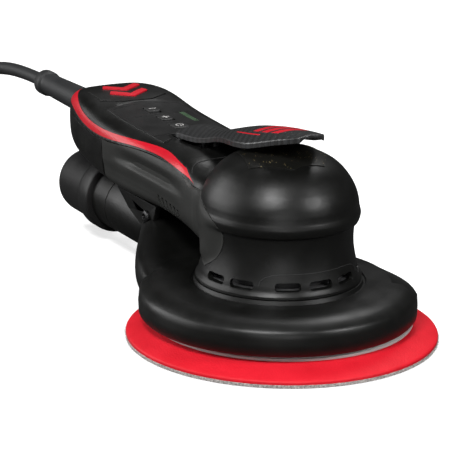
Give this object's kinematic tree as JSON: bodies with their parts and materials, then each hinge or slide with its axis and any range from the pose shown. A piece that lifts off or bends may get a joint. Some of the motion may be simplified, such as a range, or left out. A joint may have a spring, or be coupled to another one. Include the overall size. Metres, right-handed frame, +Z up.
{
  "type": "dual action polisher",
  "caption": "Corded random-orbital finishing machine: 150 mm hook-face pad, brushless head, long handle, paddle lever, dust duct with swivel hose port.",
  "frame": {"origin": "working face of the pad, on the motor axis", "axes": "+Z up along the motor axis, +X to the front of the head with handle and cord towards -X, Y across, symmetric housing about Y = 0"},
  "size_m": [0.5325, 0.2457, 0.1058],
  "materials": {
    "housing_plastic": "fine spark-eroded satin black",
    "hose_plastic": "satin black",
    "speckled_patch": "gloss black with metallic speckle",
    "grip_rubber": "soft-touch dark grey",
    "red_trim": "semi-gloss red",
    "panel_film": "engraved satin film",
    "key_rubber": "soft-touch black",
    "lens": "smoked lens",
    "lever_weave": "woven twill pattern under satin lacquer",
    "bearing_steel": "ground",
    "shaft_steel": "turned",
    "die_cast": "cast",
    "laminations": "stacked sheet edges",
    "magnet": "plated magnet",
    "copper": "enamelled copper wire",
    "fan_plastic": "glass-filled nylon",
    "seal_rubber": "moulded",
    "screw_steel": "zinc-plated dark",
    "board": "solder mask",
    "cord_rubber": "matt dark grey",
    "plug_plastic": "moulded",
    "pin_brass": "nickel-plated",
    "pad_plate_grey": "moulded nylon",
    "pad_foam_red": "fine-cell polyurethane foam",
    "hook_grey": "hook-face nap"
  },
  "bodies": {
    "housing": {"motor_housing": "housing_plastic", "dome_cover": "housing_plastic", "dome_patch": "speckled_patch", "bearing_plate": "die_cast", "motor_can": "fan_plastic", "stator_core": "laminations", "stator_windings": "copper", "lower_bearing": "bearing_steel", "upper_bearing": "bearing_steel", "shroud": "housing_plastic", "brake_seal": "seal_rubber", "shroud_screws": "screw_steel", "dust_tube": "housing_plastic", "tube_bracket": "housing_plastic", "bracket_screws": "screw_steel", "handle_shell": "housing_plastic", "grip_shell": "grip_rubber", "rear_cover": "housing_plastic", "red_trim": "red_trim", "control_panel": "panel_film", "indicator_lens": "lens", "emblem_plate": "housing_plastic", "keypad_board": "board", "controller_board": "board", "heat_sink": "die_cast", "hall_sensor": "board", "lever_bracket": "fan_plastic", "lever_pin": "shaft_steel", "lever_spring": "shaft_steel", "strain_relief": "cord_rubber", "cord_clamp": "fan_plastic", "power_cord": "cord_rubber", "cord_coil": "cord_rubber", "cord_tail": "cord_rubber", "plug_body": "plug_plastic", "plug_pins": "pin_brass"},
    "rotor": {"motor_shaft": "shaft_steel", "rotor_core": "laminations", "rotor_magnet": "magnet", "cooling_fan": "fan_plastic", "eccentric": "die_cast", "spindle_bearing": "bearing_steel"},
    "pad": {"pad_spindle": "shaft_steel", "spindle_nut": "shaft_steel", "pad_stud": "shaft_steel", "pad_plate": "pad_plate_grey", "pad_foam": "pad_foam_red", "pad_hook_face": "hook_grey"},
    "lever": {"lever": "lever_weave"},
    "power_key": {"power_button": "key_rubber"},
    "speed_up_key": {"speed_up_button": "key_rubber"},
    "speed_down_key": {"speed_down_button": "key_rubber"},
    "hose_swivel_body": {"hose_fitting": "hose_plastic"}
  },
  "joints": [
    {"name": "motor_spin", "type": "hinge", "parent": "housing", "child": "rotor", "pos_m": [0, 0, 0.03], "axis": [0, 0, 1], "continuous": true},
    {"name": "pad_spin", "type": "hinge", "parent": "rotor", "child": "pad", "pos_m": [0, 0.0025, 0.02], "axis": [0, 0, 1], "continuous": true},
    {"name": "lever_press", "type": "hinge", "parent": "housing", "child": "lever", "pos_m": [-0.084, 0, 0.0794], "axis": [0, 1, 0], "range_deg": [0, 1.7], "stiffness_Nm_per_rad": 2, "springref_deg": -3.44, "deforming": ["lever_spring"]},
    {"name": "power_press", "type": "slide", "parent": "housing", "child": "power_key", "axis": [0, 0, -1], "range_m": [0, 0.001], "stiffness_N_per_m": 800, "springref_m": -0.0005},
    {"name": "speed_up_press", "type": "slide", "parent": "housing", "child": "speed_up_key", "axis": [0, 0, -1], "range_m": [0, 0.001], "stiffness_N_per_m": 800, "springref_m": -0.0005},
    {"name": "speed_down_press", "type": "slide", "parent": "housing", "child": "speed_down_key", "axis": [0, 0, -1], "range_m": [0, 0.001], "stiffness_N_per_m": 800, "springref_m": -0.0005},
    {"name": "hose_turn", "type": "hinge", "parent": "housing", "child": "hose_swivel_body", "pos_m": [-0.19, 0, 0.0255], "axis": [1, 0, 0], "continuous": true}
  ]
}
